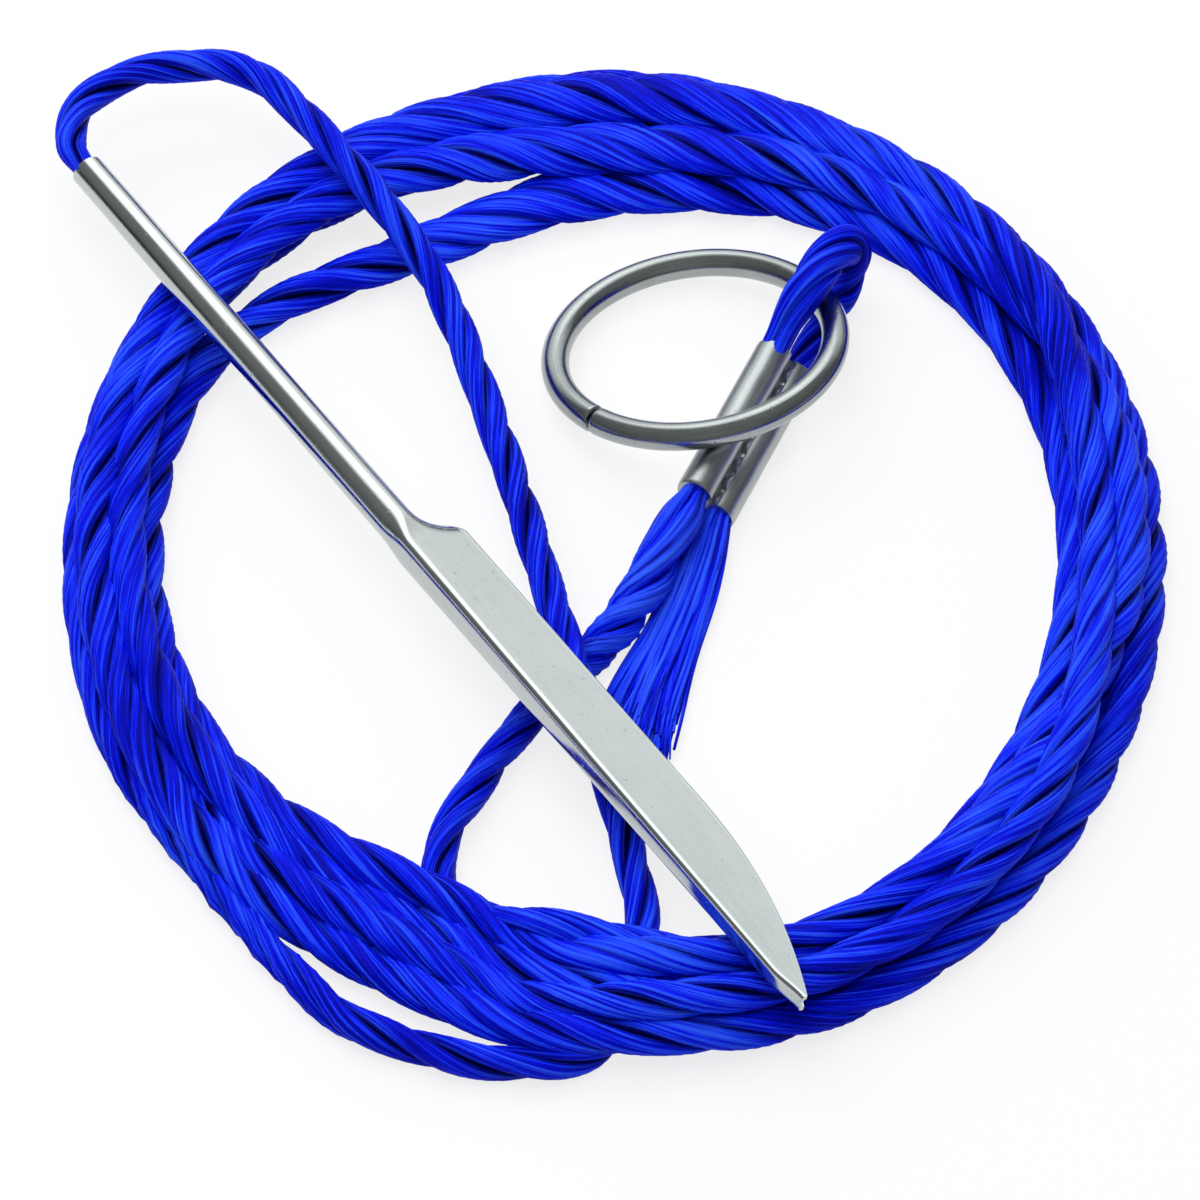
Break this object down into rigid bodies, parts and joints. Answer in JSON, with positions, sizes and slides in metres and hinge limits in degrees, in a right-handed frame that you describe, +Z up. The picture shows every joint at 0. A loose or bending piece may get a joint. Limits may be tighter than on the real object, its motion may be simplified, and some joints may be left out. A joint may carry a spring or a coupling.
{
  "type": "fish stringer",
  "caption": "Coiled cord fish stringer: a folded sheet-steel needle is crimped to one cord end, and a wire ring hangs in an eye closed by a crimped ferrule at the other.",
  "frame": {"origin": "middle of the coil, on the table it lies on", "axes": "+Z up from the table, +Y away from the viewer and along the coil's length, +X to the viewer's right"},
  "size_m": [0.1032, 0.1159, 0.0104],
  "materials": {
    "needle_steel": "bright plated sheet",
    "ring_steel": "bright plated wire",
    "ferrule_steel": "bright plated sheet, crimped",
    "cord_blue": "shiny twisted filament rope"
  },
  "bodies": {
    "coil": {"cord_coil": "cord_blue", "cord_lead": "cord_blue", "cord_ring_leg": "cord_blue", "cord_eye": "cord_blue", "cord_tail": "cord_blue", "ferrule": "ferrule_steel"},
    "needle": {"needle": "needle_steel", "cord_needle_stub": "cord_blue", "cord_needle_loop": "cord_blue"},
    "ring": {"ring": "ring_steel"}
  },
  "joints": [
    {"name": "needle_turn", "type": "hinge", "parent": "coil", "child": "needle", "pos_m": [-0.0265, 0.0436, 0.00868], "axis": [-0.5764, 0.8171, 0], "range_deg": [0, 90]},
    {"name": "ring_swing", "type": "hinge", "parent": "coil", "child": "ring", "pos_m": [0.01902, 0.02739, 0.00505], "axis": [-0.404, 0.8886, -0.2173], "range_deg": [0, 100]}
  ]
}
